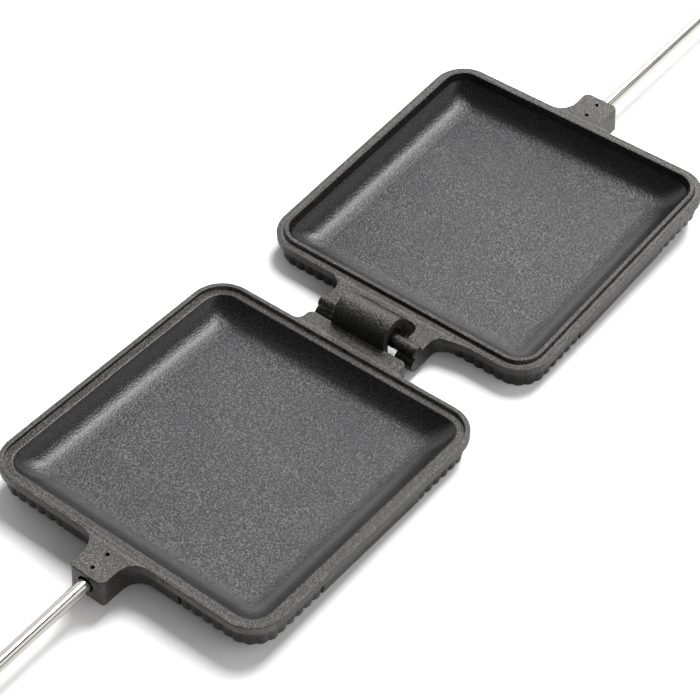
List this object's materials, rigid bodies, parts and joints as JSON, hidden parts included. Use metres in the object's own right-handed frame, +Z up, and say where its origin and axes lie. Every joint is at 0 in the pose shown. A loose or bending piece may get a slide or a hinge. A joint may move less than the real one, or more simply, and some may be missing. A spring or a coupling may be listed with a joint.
{
  "type": "pie iron",
  "caption": "Square cast-iron pie iron lying open: two ribbed pans hinged by a hook and a bar, on long steel rods with wooden grips and a side latch.",
  "frame": {"origin": "on the table under the hinge axis, midway between the two handle ends", "axes": "+X from the hook half's handle to the bar half's handle, +Y to the latch side of the grips, +Z up"},
  "size_m": [1.4092, 0.14, 0.028],
  "materials": {
    "cast_iron": "seasoned, rough",
    "rod_steel": "bright plated",
    "fitting_steel": "satin",
    "grip_wood": "oiled"
  },
  "bodies": {
    "hook_side": {"hook_half": "cast_iron", "hook_rod": "rod_steel", "hook_pin_inner": "fitting_steel", "hook_pin_outer": "fitting_steel", "hook_collar": "fitting_steel", "hook_ferrule": "fitting_steel", "hook_grip": "grip_wood", "hook_end_washer": "fitting_steel", "hook_nut": "fitting_steel", "latch_washer": "fitting_steel", "latch_screw": "fitting_steel"},
    "bar_side": {"bar_half": "cast_iron", "bar_rod": "rod_steel", "bar_pin_inner": "fitting_steel", "bar_pin_outer": "fitting_steel", "bar_collar": "fitting_steel", "bar_ferrule": "fitting_steel", "bar_grip": "grip_wood", "bar_end_washer": "fitting_steel", "bar_nut": "fitting_steel", "latch_stud": "fitting_steel"},
    "latch": {"latch": "fitting_steel"}
  },
  "joints": [
    {"name": "fold", "type": "hinge", "parent": "hook_side", "child": "bar_side", "pos_m": [0, 0, 0.01181], "axis": [0, -1, 0], "range_deg": [-5.26, 174.74]},
    {"name": "latch_turn", "type": "hinge", "parent": "hook_side", "child": "latch", "pos_m": [-0.6, 0.0153, 0.014], "axis": [0, 1, 0], "range_deg": [0, 92.63]}
  ]
}
